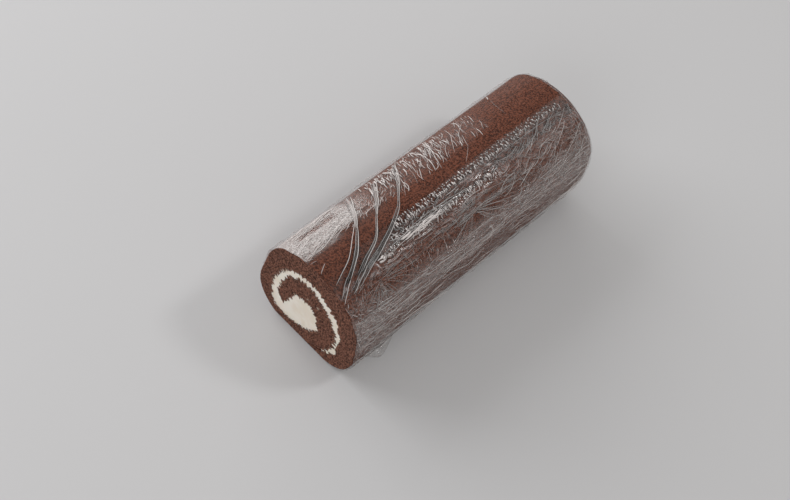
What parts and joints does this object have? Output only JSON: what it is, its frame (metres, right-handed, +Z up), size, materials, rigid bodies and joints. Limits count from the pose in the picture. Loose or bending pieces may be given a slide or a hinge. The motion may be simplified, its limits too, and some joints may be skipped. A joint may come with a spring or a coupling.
{
  "type": "wrapped swiss roll cake",
  "caption": "Chocolate swiss roll with a cream spiral, slumped on a flat foot and wrapped in cling film that is open at the cut end.",
  "frame": {"origin": "under the middle of the roll's length, on the flat foot that it rests on", "axes": "+X along the roll from its cut end to its wrapped end, +Y to the left as seen from the cut end, +Z up"},
  "size_m": [0.2088, 0.0797, 0.0763],
  "materials": {
    "sponge": "fine-pored baked chocolate sponge, matt",
    "cream": "smooth set cream, soft sheen",
    "film": "clear thin cling film, glossy, creased"
  },
  "bodies": {
    "root": {"sponge": "sponge", "cream": "cream", "film": "film"}
  },
  "joints": []
}
